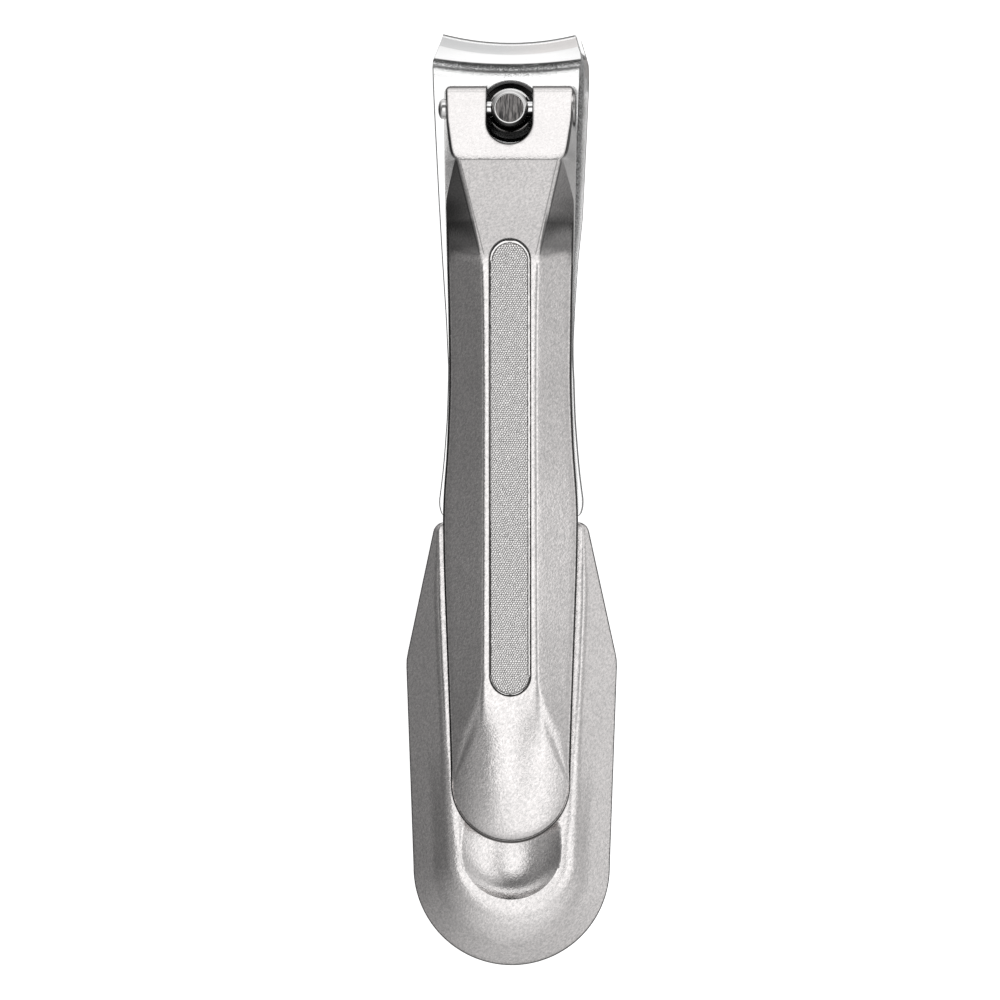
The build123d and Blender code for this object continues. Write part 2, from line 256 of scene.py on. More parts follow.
# y, half width, wall top z and half width, fold half width, height and fall of the crown
LEVER_STATIONS = np.array((
    (-33.0, 5.78, 0, 5.72, 5.45, 11.4, 0.042),
    (-31.0, 5.78, 0, 5.72, 5.45, 11.8, 0.042),
    (-29.0, 5.78, 0, 5.72, 5.45, 12.1, 0.042),
    (-27.2, 5.78, 10.85, 5.72, 5.45, 12.3, 0.042),
    (-25.4, 5.79, 10.97, 5.73, 5.1, 12.45, 0.042),
    (-23.6, 5.85, 11.05, 5.78, 4.4, 12.6, 0.045),
    (-21.3, 5.92, 11.08, 5.85, 3.5, 12.65, 0.037),
    (-19.0, 6.0, 11.1, 5.92, 2.6, 12.65, 0.0),
    (-11.6, 6.27, 11.35, 6.17, 2.55, 12.945, 0.0),
    (-7.7, 6.42, 11.47, 6.32, 2.52, 13.105, 0.0),
    (-3.5, 6.52, 11.6, 6.42, 2.5, 13.277, 0.0),
    (0.3, 6.53, 11.77, 6.43, 2.5, 13.432, 0.0),
    (2.3, 6.3, 11.85, 6.2, 2.5, 13.514, 0.0),
    (4.5, 6.15, 11.95, 6.05, 2.5, 13.604, 0.0),
    (11.0, 5.9, 12.25, 5.8, 2.5, 13.870, 0.0),
    (19.0, 6.0, 12.6, 5.9, 2.55, 14.198, 0.0),
    (23.2, 6.13, 12.78, 6.0, 2.7, 14.37, 0.0),
    (28.6, 6.28, 13.1, 6.13, 4.0, 17.088, 0.0),
    (32.25, 6.36, 18.15, 5.12, 4.92, 18.925, 0.0),
    (32.7, 6.36, 17.95, 5.5, 5.28, 18.717, 0.0),
    (33.2, 6.36, 17.65, 5.63, 5.4, 18.425, 0.0),
    (34.0, 6.37, 17.2, 5.76, 5.52, 17.958, 0.0),
    (36.2, 6.39, 16.0, 6.02, 5.85, 16.675, 0.0),
    (39.5, 6.4, 14.25, 6.15, 6.02, PLATE_END_Z, 0.0),
))


def lever_values(y):
    """The lever's section sizes at y, its gentle kinks eased over a few millimetres."""
    reach = 2.2 if y < 20.0 else 0.45
    reach = min(reach, max(0.02, abs(y - CREASE_Y) * 0.8), max(0.02, LEVER_FRONT - y),
                max(0.02, y - THUMB_Y if y > THUMB_Y else 5.0))
    spots = y + reach * np.linspace(-1, 1, 9)
    return [float(np.mean(np.interp(spots, LEVER_STATIONS[:, 0], LEVER_STATIONS[:, k])))
            for k in range(1, 7)]


def underside(y):
    """Height of the lever's underside, with the cheeks rounded about the pin."""
    if y > POST_Y:
        return PIN_Z - math.sqrt(max(0.0, CAM_RADIUS ** 2 - (y - POST_Y) ** 2))
    return CHEEK_Z - max(0.0, CHEEK_END_Y - y) * (CHEEK_Z - TIP_Z) / (CHEEK_END_Y - LEVER_REAR)


def lever_profile(y, pull_in=0.0):
    """The lever's right-hand outline at y, from the underside to the crown, pulled in a little
    where the front edge is rounded."""
    half, wall_z, wall_half, fold, top_z, fall = lever_values(y)
    floor = underside(y)
    foot = half + (wall_half - half) * (floor - min(floor, CHEEK_Z)) / max(wall_z - CHEEK_Z, 0.5)
    fold_z = top_z - fall * fold ** 2
    soft = max(0.0, min(1.0, (RIDGE_REAR_Y + 1.0 - y) / 5.0))
    ridge = float(np.interp(y, (RIDGE_REAR_Y - 4, RIDGE_REAR_Y + 3, 21.5, 24.0, 31.8, 32.6),
                            (1.8, 1.15, 1.15, 0.6, 0.5, 0.25)))
    line = rounded([(0, floor), (foot, floor), (wall_half, wall_z), (fold, fold_z), (0, fold_z)],
                   (0.25, 0.75, ridge + 3.0 * soft), arc=8, straight=6)
    if pull_in:
        middle = (floor + top_z) / 2
        line[:, 0] *= (foot - pull_in) / foot
        line[:, 1] = middle + (line[:, 1] - middle) * (1 - 2 * pull_in / (top_z - floor))
    top = len(line) - 16
    line[top:, 1] += fall * np.maximum(0.0, fold ** 2 - line[top:, 0] ** 2)
    return line


def end_profile(a):
    """The thumb end's profile in the direction a, turning from straight out to the rear."""
    out = np.array([math.cos(a), -math.sin(a)])
    turn = math.sin(a) ** 2
    outer, wall, fold = THUMB_RADIUS, THUMB_RADIUS - 0.06, THUMB_RADIUS - 0.33 - 0.3 * turn

    def height(r):
        x, y = out * r
        top_z, fall = [np.interp(THUMB_Y + y, LEVER_STATIONS[:, 0], LEVER_STATIONS[:, k])
                       for k in (5, 6)]
        return float(top_z - fall * x ** 2)

    floors = [underside(THUMB_Y + out[1] * r) for r in (0.0, outer)]
    brim = height(fold)
    line = rounded([(0, floors[0]), (outer, floors[1]), (wall, brim - 0.2 - 0.3 * turn), (fold, brim),
                    (0, brim)], (0.25, 0.75, 3.0), arc=8, straight=6)
    for k in range(len(line) - 16, len(line)):
        line[k, 1] += height(line[k, 0]) - brim
    return line


def plate_z(y):
    """The cam head's inclined top face."""
    return CREASE_Z + (y - CREASE_Y) * (PLATE_END_Z - CREASE_Z) / (LEVER_FRONT - CREASE_Y)


def ridge_z(y):
    """The ridge's flat top, which the file lies in."""
    return RIDGE_REAR_Z + (y - RIDGE_REAR_Y) * RIDGE_SLOPE


def build_lever():
    """The lever: its casting, pad and boss, less the slot, holes, file pocket and channel."""
    stations = []
    for s in np.linspace(0, math.pi / 2, 6):
        stations.append((LEVER_FRONT - 0.5 * (1 - math.cos(s)), 0.5 * (1 - math.sin(s))))
    stations += [(y, 0.0) for y in np.arange(LEVER_FRONT - 0.6, CREASE_Y + 0.4, -0.4)]
    stations += [(CREASE_Y + d, 0.0) for d in (0.25, 0.12, 0.04, -0.04, -0.12, -0.25)]
    stations += [(y, 0.0) for y in np.arange(CREASE_Y - 0.6, THUMB_Y + 0.2, -0.6)]
    rows = [(y, 1.0, 0.0, lever_profile(y, pull)) for y, pull in stations]
    rows += [(THUMB_Y, math.cos(a), -math.sin(a), end_profile(a))
             for a in np.linspace(0, math.pi / 2, 30)]
    piece = tube("lever_casting", mirrored(rows), folded=True)
    pad = [(1e-5, 3.6), (1.75, 3.6), (1.75, 6.12), (1.71, 6.24), (1.6, 6.3), (1e-5, 6.3)]
    join(piece, lathe("pad", pad, (0, POST_Y, PIN_Z), "X", 56))
    boss = [(1e-5, -6.11), (1.1, -6.11), (1.17, -6.05), (1.2, -5.95), (1.2, -3.6), (1e-5, -3.6)]
    join(piece, lathe("boss", boss, (0, POST_Y, PIN_Z), "X", 48))
    drill(piece, lathe("cutter", [(1e-5, -9), (1.0, -9), (1.0, -6.1), (1e-5, -6.1)],
                       (0, POST_Y, PIN_Z), "X", 48))
    slot_end_y, slot_width = 33.8, 4.34
    slot = [(x, y + slot_end_y + 12.0) for x, y in obround(slot_width, 24.0, 28)]
    drill(piece, prism(slot, [(0, lambda y: 5.0), (0, lambda y: plate_z(y) - 0.3),
                              (0.03, lambda y: plate_z(y) - 0.15),
                              (0.11, lambda y: plate_z(y) - 0.05),
                              (0.25, lambda y: plate_z(y) + 0.02),
                              (0.4, lambda y: plate_z(y) + 0.6)]))
    hole = [(1e-5, -9), (0.76, -9), (0.76, 9), (1e-5, 9)]
    drill(piece, lathe("cutter", hole, (0, POST_Y, PIN_Z), "X", 40))
    pocket = [(x, y + FILE_MIDDLE)
              for x, y in obround(FILE_WIDTH + FILE_GAP, FILE_LENGTH + 2 * FILE_GAP, 28)]
    drill(piece, prism(pocket, [(0, lambda y: ridge_z(y) - 0.51),
                                (0, lambda y: ridge_z(y) - 0.08),
                                (0.02, lambda y: ridge_z(y) - 0.04),
                                (0.07, lambda y: ridge_z(y) + 0.005),
                                (0.1, lambda y: ridge_z(y) + 2.5)]))
    channel = [(x, y + CHEEK_END_Y - 26.5) for x, y in obround(5.6, 51.0, 20)]
    drill(piece, prism(channel, [(0, lambda y: 5.0), (0, lambda y: underside(y) + 0.9)]))
    return finish_surface(piece, 32)


# ------------------------------------------------------------------ nail file

FILE_WIDTH = 3.85
FILE_LENGTH = file_high[1] - file_low[1]
FILE_MIDDLE = (file_low[1] + file_high[1]) / 2
FILE_THICK = 0.45
FILE_SINK = 0.06
FILE_GAP = 0.12


def build_file():
    """The file plate: raised round cells, separated by narrow etched valleys."""
    rng = np.random.default_rng(7)
    pitch = 0.228
    rows, columns = 1030, 92
    half, reach = FILE_WIDTH / 2, FILE_LENGTH / 2
    v = np.linspace(-reach, reach, rows)
    over = np.maximum(0.0, np.abs(v) - (reach - half))
    ragged = np.convolve(rng.normal(0, 0.03, rows + 8), np.ones(9) / 9, "valid")
    widths = np.sqrt(np.maximum(half ** 2 - over ** 2, 0.18 ** 2)) + ragged
    u = np.linspace(-1, 1, columns)
    snug = np.interp(v + FILE_MIDDLE, (-4.0, 0.0, 16.0, 20.0), (0, 1, 1, 0))
    x = (widths + 0.03 * snug)[:, None] * u[None, :]
    y = np.repeat(v[:, None], columns, 1)
    step = pitch * math.sqrt(3) / 2
    grid = rng.uniform(-0.24, 0.24, (400, 40, 2)) * pitch
    lift = rng.uniform(0.0, 0.008, (400, 40))
    row0, col0 = np.floor(y / step).astype(int), np.floor(x / pitch).astype(int)
    best = np.full((2, rows, columns), 9.0)
    raise_by = np.zeros((rows, columns))
    for dr in (-2, -1, 0, 1, 2):
        for dc in (-2, -1, 0, 1, 2):
            r, c = row0 + dr, col0 + dc
            j = grid[r + 200, c + 20]
            px = (c + 0.5 + 0.5 * (r % 2)) * pitch + j[..., 0]
            py = (r + 0.5) * step + j[..., 1]
            d = np.hypot(x - px, y - py)
            nearer = d < best[0]
            raise_by = np.where(nearer, lift[r + 200, c + 20], raise_by)
            best[1] = np.where(nearer, best[0], np.minimum(best[1], d))
            best[0] = np.where(nearer, d, best[0])
    gap = np.clip((best[1] - best[0]) / 0.08, 0, 1)
    cell = gap * gap * (3 - 2 * gap)
    # smooth rim, wider at the front and on the right, with a groove inside it
    inside = half - np.hypot(x, over[:, None])
    rim = np.where(y > reach - half, 0.2, np.interp(x, (-1.0, 1.0), (0.03, 0.2)))
    rim = np.where(y < half - reach, 0.08, rim)
    cell = np.where(inside < rim, 1.0, np.where(inside < rim + 0.07, 0.0, cell))
    z = 0.04 * (cell - 1) + (raise_by - 0.008) * cell
    z[:, [0, -1]] = -0.09
    z[[0, -1], :] = -0.09
    z[1:-1, [1, -2]] = np.minimum(z[1:-1, [1, -2]], -0.015)
    z[[1, -2], 1:-1] = np.minimum(z[[1, -2], 1:-1], -0.015)
    yy = y + FILE_MIDDLE
    top = ridge_z(yy) - FILE_SINK
    verts = np.stack([x, yy, top + z], -1).reshape(-1, 3)
    idx = np.arange(rows * columns).reshape(rows, columns)
    a, b, c, d = idx[:-1, :-1], idx[:-1, 1:], idx[1:, 1:], idx[1:, :-1]
    faces = np.stack([a, b, c, d], -1).reshape(-1, 4).tolist()
    rim = list(idx[0, :]) + list(idx[1:, -1]) + list(idx[-1, -2::-1]) + list(idx[-2:0:-1, 0])
    low = []
    start = rows * columns
    for k in rim:
        px, py = verts[k][:2]
        low.append((px, py, ridge_z(py) - FILE_SINK - FILE_THICK))
    n = len(rim)
    faces += [(int(rim[(k + 1) % n]), int(rim[k]), start + k, start + (k + 1) % n) for k in range(n)]
    faces.append(tuple(start + k for k in range(n))[::-1])
    mesh = bpy.data.meshes.new("nail_file")
    mesh.from_pydata((np.vstack([verts, np.array(low)]) * MM).tolist(), [], faces)
    # valley marks the etched valleys, the groove inside the rim and the plate's sides, where the finish
    # paints shade
    valley = mesh.attributes.new("valley", "FLOAT", "POINT")
    deep = np.concatenate([1 - cell.reshape(-1), np.ones(n)])
    valley.data.foreach_set("value", deep.astype(np.float32))
    mesh.shade_smooth()
    mesh.set_sharp_from_angle(angle=math.radians(50))
    piece = bpy.data.objects.new("nail_file", mesh)
    bpy.context.scene.collection.objects.link(piece)
    return piece


# ------------------------------------------------------------------ blades

BLADE_THICK, BLADE_SLOPE = 2.0, 3.85 / 47.0
EDGE_RADIUS, EDGE_HALF = 26.0, 6.6
EDGE_CENTRE = FRONT_Y + math.sqrt(EDGE_RADIUS ** 2 - EDGE_HALF ** 2)
TANG_REAR = -20.0
TANG_PINS_Y = (-10.0, -16.5)
# jaw, from the cutting edge back: distance back from the edge, height over the middle plane,
# and radius of the curve in plan
JAW = np.array((
    (0.0, 1.22, 26.0), (0.1, 1.25, 26.1), (0.14, 1.256, 26.15), (0.26, 1.26, 26.25),
    (0.3, 1.28, 26.3), (0.8, 1.965, 26.8), (1.26, 2.6, 27.3), (1.45, 3.05, 31.0),
    (1.75, 3.76, 37.0), (2.05, 4.47, 43.0), (2.25, 4.93, 46.0), (2.36, 5.12, 47.0), (2.5, 5.31, 48.0),
    (2.66, 5.46, 48.0), (2.85, 5.6, 48.0), (3.05, 5.695, 48.0), (3.2, 5.73, 48.0), (3.35, 5.745, 48.0),
    (3.65, 5.75, 48.0), (3.95, 5.75, 48.0),
))
REAR_CURVE = JAW[-1, 2]
BLADE_WIDTHS = np.array((
    (-1.75, 6.0), (-1.6, 6.45), (-1.3, 6.75), (-0.7, 6.92), (0.0, 6.95), (2.0, 6.68), (4.3, 6.45),
    (8.0, 6.17), (12.5, 6.03), (17.5, 6.25), (23.0, 6.6), (29.0, 6.93), (35.0, 7.22), (39.0, 7.4),
    (41.4, 7.48), (42.1, 7.45), (42.4, 7.38), (45.0, 6.59), (46.0, 6.33),
))


def blade_half(y):
    """Half the blade's width at y."""
    spots = y + np.linspace(-0.5, 0.5, 7) * (1.0 if 3 < y < 41 else 0.2)
    return float(np.mean(np.interp(spots, BLADE_WIDTHS[:, 0], BLADE_WIDTHS[:, 1])))


def blade_inner(y):
    """Distance of the blade's inner face from the middle plane."""
    return float(np.interp(y, (-30, ROOT_Y, 39.4, 42.7, 47), (0.03, 0.03, 3.72, 1.2, 1.2)))


def blade_outer(y):
    """Distance of the blade's outer face from the middle plane."""
    return BLADE_THICK + max(0.0, y - ROOT_Y) * BLADE_SLOPE


def build_blade(name, side):
    """One blade. side is 1 for the upper blade and -1 for the lower, its mirror image."""
    lines = []
    for back, z, radius in JAW:
        crest = EDGE_CENTRE - EDGE_RADIUS - back
        lines.append((lambda x, c=crest, r=radius: c + r - math.sqrt(r * r - x * x), z))
    last = EDGE_CENTRE - EDGE_RADIUS - JAW[-1, 0]
    ys = list(np.arange(last - 0.4, last - 4.4, -0.5)) + list(np.arange(last - 5.2, 1.5, -1.3))
    ys += [1.2, 0.6, 0.2, -0.2, -0.6, -1.0, -1.3, -1.5, -1.65, -1.75]
    for y in ys:
        bend = max(0.0, 1 - (last - y) / 4.4)
        lines.append((lambda x, c=y, k=bend: c + k * (REAR_CURVE - math.sqrt(REAR_CURVE ** 2 - x * x)),
                      None))
    for y in (-1.8, -3.0, ROOT_Y + 0.8, ROOT_Y, ROOT_Y - 0.8, -10.0, -15.0, TANG_REAR):
        lines.append((lambda x, c=y: c, None))
    loops = []
    for place, z_top in lines:
        half = 5.5
        for _ in range(6):
            y_side = place(half)
            half = blade_half(y_side) if y_side > -1.78 else 5.5
        strip = float(np.interp(y_side, (18.0, 21.0, 26.0, 41.5, 43.0), (0, 0.1, 0.4, 0.4, 0.1)))
        shy = 0.38 * max(0, side) * float(np.interp(y_side, (16.0, 24.0), (0, 1)))
        shy += 0.2 * float(np.interp(y_side, (12.0, 15.0, 23.0, 27.0), (0, 1, 1, 0)))
        u = np.linspace(-1, 1, 25)
        thick = (z_top if z_top is not None else blade_outer(place(0))) - blade_inner(place(half))
        soft = min(0.16, 0.3 * thick)
        top, bottom = [], []
        for s in u:
            x = s * (half - soft) - (strip + shy) * max(0.0, s)
            y = place(x)
            z = z_top if z_top is not None else blade_outer(y)
            top.append((x, y, z))
            bottom.append((s * (half - soft) - shy * max(0.0, s), y, min(blade_inner(y), z - 0.04)))
        y_side = place(half)
        z_hi = z_top if z_top is not None else blade_outer(y_side)
        z_lo = min(blade_inner(y_side), z_hi - 0.04)
        wall = []
        for inwards, drop in ((0.62, 0.02), (0.25, 0.2), (0.06, 0.55), (0.0, 1.0)):
            wall.append((half - soft * inwards, z_hi - soft * drop))
        wall.append((half, (z_hi + z_lo) / 2))
        wall.append((half, z_lo + 0.35 * soft))
        wall.append((half - 0.35 * soft, z_lo))
        left = [(-x, place(-x), z) for x, z in reversed(wall)]
        right = []
        for x, z in wall:
            up = max(0.0, (z - z_lo) / (z_hi - z_lo) - 0.25) / 0.7
            x -= shy + strip * min(1.0, up)
            right.append((x, place(x), z))
        loops.append(top + right + bottom[::-1] + left)
    placed = [[(x, y, MID_Z + side * z) for x, y, z in loop] for loop in loops]
    # the first loop lies along the hollow edge: pair its upper points with its lower ones
    cap = [(i, i + 1, 55 - i, 56 - i) for i in range(24)]
    cap += [tuple(range(24, 33)), tuple(range(56, 64)) + (0,)]
    piece = tube(name, placed, cap=cap)
    seat = MID_Z + side * blade_outer(POST_Y)
    hole = [(x, y + POST_Y) for x, y in obround(5.3, 5.3001, 36)]
    slope = BLADE_SLOPE * side

    def face(y):
        return seat + (y - POST_Y) * slope

    levels = [(0, lambda y: MID_Z), (0, lambda y: face(y) - side * 0.2),
              (0.36, lambda y: face(y) + side * 0.002), (0.42, lambda y: face(y) + side * 0.06),
              (0.5, lambda y: face(y) + side * 1.5)]
    drill(piece, prism(hole, levels))
    for y in TANG_PINS_Y:
        drill(piece, cylinder(1.7, -2.0, 14.0, (0, y, 0)))
    if side < 0:
        drill(piece, cylinder(3.45, -3.0, 1.25, (0, POST_Y, 0), lid=0.0))
    return finish_surface(piece, 13)


# ------------------------------------------------------------------ grip

GRIP_FRONT, GRIP_CORNER, GRIP_TURN = -2.15, -15.5, -35.5
GRIP_TOP = grip_high[2]
LAND_CENTRE, LAND_RADIUS = -33.85, 5.75
BEVEL_SLOPE = 0.82
SCOOP_DEPTH, SCOOP_DRIFT = 1.2, 1.4
TANG_POCKET, POCKET_DEPTH = ((-5.7, -20.6), (5.7, -20.6), (5.7, 5.0), (-5.7, 5.0)), 2.45
SCREWS = tuple(tuple((sum(c) / 2 for c in zip(*[p[:2] for p in box_mm(f"grip_screw_{n}")])))
               for n in ("left", "right", "rear"))


def eased(y, table, reach):
    """A width read from a table of y and width, its kinks eased over reach either side."""
    spots = y + reach * np.linspace(-1, 1, 9)
    return float(np.mean(np.interp(spots, [p[0] for p in table], [p[1] for p in table])))


WIDE_PLAN = ((GRIP_TURN - 9, 9.485), (GRIP_TURN, 9.485), (GRIP_CORNER, 10.2), (GRIP_FRONT, 7.3),
             (3, 6.1))
LAND_PLAN = ((-44, 5.3), (-34.0, 5.6), (-30.0, 6.05), (-25.0, 6.35), (GRIP_CORNER, 6.85), (-9.0, 7.12),
             (GRIP_FRONT, 7.0), (3, 6.9))
BASE_PLAN = ((GRIP_TURN - 9, 6.5), (GRIP_TURN, 6.5), (GRIP_CORNER, 7.3), (GRIP_FRONT, 6.3), (3, 5.4))


def grip_rows(profile):
    """Stations of the grip: from the front, straight back, and round the rear."""
    rows = []
    for s in np.linspace(0, math.pi / 2, 8):
        rows.append((GRIP_FRONT - 0.9 * (1 - math.cos(s)), 1.0, 0.0,
                     profile(GRIP_FRONT - 0.9 * (1 - math.cos(s)), 0.0, 0.75 * (1 - math.sin(s)))))
    for y in np.arange(GRIP_FRONT - 1.4, GRIP_TURN + 0.3, -0.7):
        rows.append((y, 1.0, 0.0, profile(y, 0.0, 0.0)))
    for a in np.linspace(0, math.pi / 2, 40):
        rows.append((GRIP_TURN, math.cos(a), -math.sin(a), profile(GRIP_TURN, a, 0.0)))
    return rows


def top_profile(y, a, pull_in):
    """The upper casting's outline at y, or in the direction a round the rear."""
    wide = eased(y, WIDE_PLAN, 0.5)
    offset = GRIP_TURN - LAND_CENTRE
    if y > GRIP_TURN:
        land = eased(y, LAND_PLAN, 1.5)
    else:
        land = (offset * math.sin(a)
                + math.sqrt(LAND_RADIUS ** 2 - (offset * math.cos(a)) ** 2))
    turn = math.sin(a) ** 2
    soft = max(0.0, min(1.0, (-23.0 - y) / 12.0)) * (0.6 + 0.4 * turn)
    land = min(land, wide - 0.25)
    foot = max(MID_Z + 0.6, GRIP_TOP - (wide - land) * BEVEL_SLOPE)
    middle = (land + (wide - land) * (0.5 - 0.08 * soft), foot + (GRIP_TOP - foot) * (0.5 + 0.3 * soft))
    line = rounded([(0, MID_Z), (wide, MID_Z), (wide, foot), middle, (land, GRIP_TOP), (0, GRIP_TOP)],
                   (0.05, 0.3 + 0.3 * turn, 6.0, 1.3 + 3.0 * soft), arc=8, straight=6)
    line[:, 0] *= (wide - pull_in) / wide
    line[:, 1] = MID_Z + (line[:, 1] - MID_Z) * (1 - 0.04 * pull_in / 0.75)
    return line


def bottom_profile(y, _a, pull_in):
    """The lower casting's outline at y."""
    wide = eased(y, WIDE_PLAN, 0.5)
    base = eased(y, BASE_PLAN, 0.5)
    line = rounded([(0, 0), (base, 0), (wide, MID_Z - 0.6), (wide, MID_Z), (0, MID_Z)],
                   (0.8, 0.4, 0.05), arc=8, straight=8)
    line[:, 0] *= (wide - pull_in) / wide
    line[:, 1] = MID_Z + (line[:, 1] - MID_Z) * (1 - 0.12 * pull_in / 0.75)
    return line


def build_grip_top():
    """The upper casting, less its thumb scoop, tang pocket and holes."""
    piece = tube("grip_top_casting", mirrored(grip_rows(top_profile)), folded=True)
    bowl = [(1e-5, -SCOOP_DEPTH)]
    for rho in np.linspace(0.06, 1.0, 26):
        bowl.append((rho, -SCOOP_DEPTH * (1 - rho ** 2)))
    bowl += [(1.012, 0.02), (1.03, 0.2), (1.03, 3.0), (1e-5, 3.0)]
    scoop = lathe("cutter", bowl, (0, 0, 0), "Z", 96)
    for v in scoop.data.vertices:
        x, y, z = Matrix.Rotation(0.02, 3, "Z") @ v.co / MM
        drift = SCOOP_DRIFT * min(1.0, max(0.0, -z / SCOOP_DEPTH))
        v.co = Vector((x * 4.85, y * (7.5 if y > 0 else 4.85) - 33.6 - drift, z + GRIP_TOP)) * MM
    drill(piece, scoop)
    drill(piece, prism(TANG_POCKET, [(0, lambda y: MID_Z - 1), (0, lambda y: MID_Z + POCKET_DEPTH)]))
    for y in TANG_PINS_Y:
        drill(piece, cylinder(1.5, 0.0, 8.6, (0, y, 0), lid=0.0))
    for x, y in SCREWS:
        drill(piece, cylinder(1.1, 0.0, 7.2, (x, y, 0), lid=0.0))
    return finish_surface(piece, 32)


def build_grip_bottom():
    """The lower casting, less its tang pocket, core and holes."""
    piece = tube("grip_bottom_casting", mirrored(grip_rows(bottom_profile)), folded=True)
    drill(piece, prism(TANG_POCKET, [(0, lambda y: MID_Z - POCKET_DEPTH), (0, lambda y: MID_Z + 1)]))
    core = [(-5.0, -36.5), (5.0, -36.5), (5.0, -27.2), (-5.0, -27.2)]
    drill(piece, prism(core, [(0, lambda y: 1.3), (0, lambda y: MID_Z + 1)]))
    for y in TANG_PINS_Y:
        drill(piece, cylinder(1.5, -2.0, 8.0, (0, y, 0), lid=0.0))
    for x, y in SCREWS:
        seat = [(1e-5, -2.0), (1.9, -2.0), (1.9, 0.25), (1.1, 1.05), (1.1, 8.0), (1e-5, 8.0)]
        drill(piece, lathe("cutter", seat, (x, y, 0), "Z", 48))
    return finish_surface(piece, 32)


# ------------------------------------------------------------------ post and pin

def build_post():
    """The turned post, with its foot, neck and ringed head."""
    top = post_high[2]
    profile = [(1e-5, 0.2), (3.0, 0.2), (3.22, 0.28), (3.3, 0.5), (3.3, 1.12), (3.22, 1.2),
               (2.1, 1.2), (2.1, 11.2), (1.95, 11.3), (1.95, 11.6), (2.1, 11.7), (2.1, 12.15),
               (2.02, 12.3), (1.82, 12.42), (1.7, 12.6), (1.7, 12.8), (1.775, 12.9),
               (1.79, top - 0.4), (1.78, top - 0.32), (1.74, top - 0.26), (1.53, top - 0.07),
               (1.47, top - 0.02), (1.42, top), (1.36, top), (1.33, top - 0.03), (1e-5, top - 0.03)]
    piece = lathe("post_turned", profile, (0, POST_Y, 0), "Z", 96)
    hole = [(1e-5, -9), (0.8, -9), (0.8, 9), (1e-5, 9)]
    drill(piece, lathe("cutter", hole, (0, POST_Y, PIN_Z), "X", 40))
    return finish_surface(piece, 28)


def build_pin():
    """The cross pin, with its domed head on the left."""
    end, head = pin_high[0], pin_low[0]
    profile = [(1e-5, head)]
    profile += [(0.95 * math.sin(t), head + 0.42 * (1 - math.cos(t)))
                for t in np.linspace(0.15, 1.5, 9)]
    profile += [(0.95, head + 0.5), (0.95, head + 0.72), (0.92, head + 0.75), (0.75, head + 0.75),
                (0.75, end - 0.15), (0.7, end - 0.04), (0.6, end), (1e-5, end)]
    piece = lathe("pin_turned", profile, (0, POST_Y, PIN_Z), "X", 48)
    return finish_surface(piece, 28)


# ------------------------------------------------------------------ materials


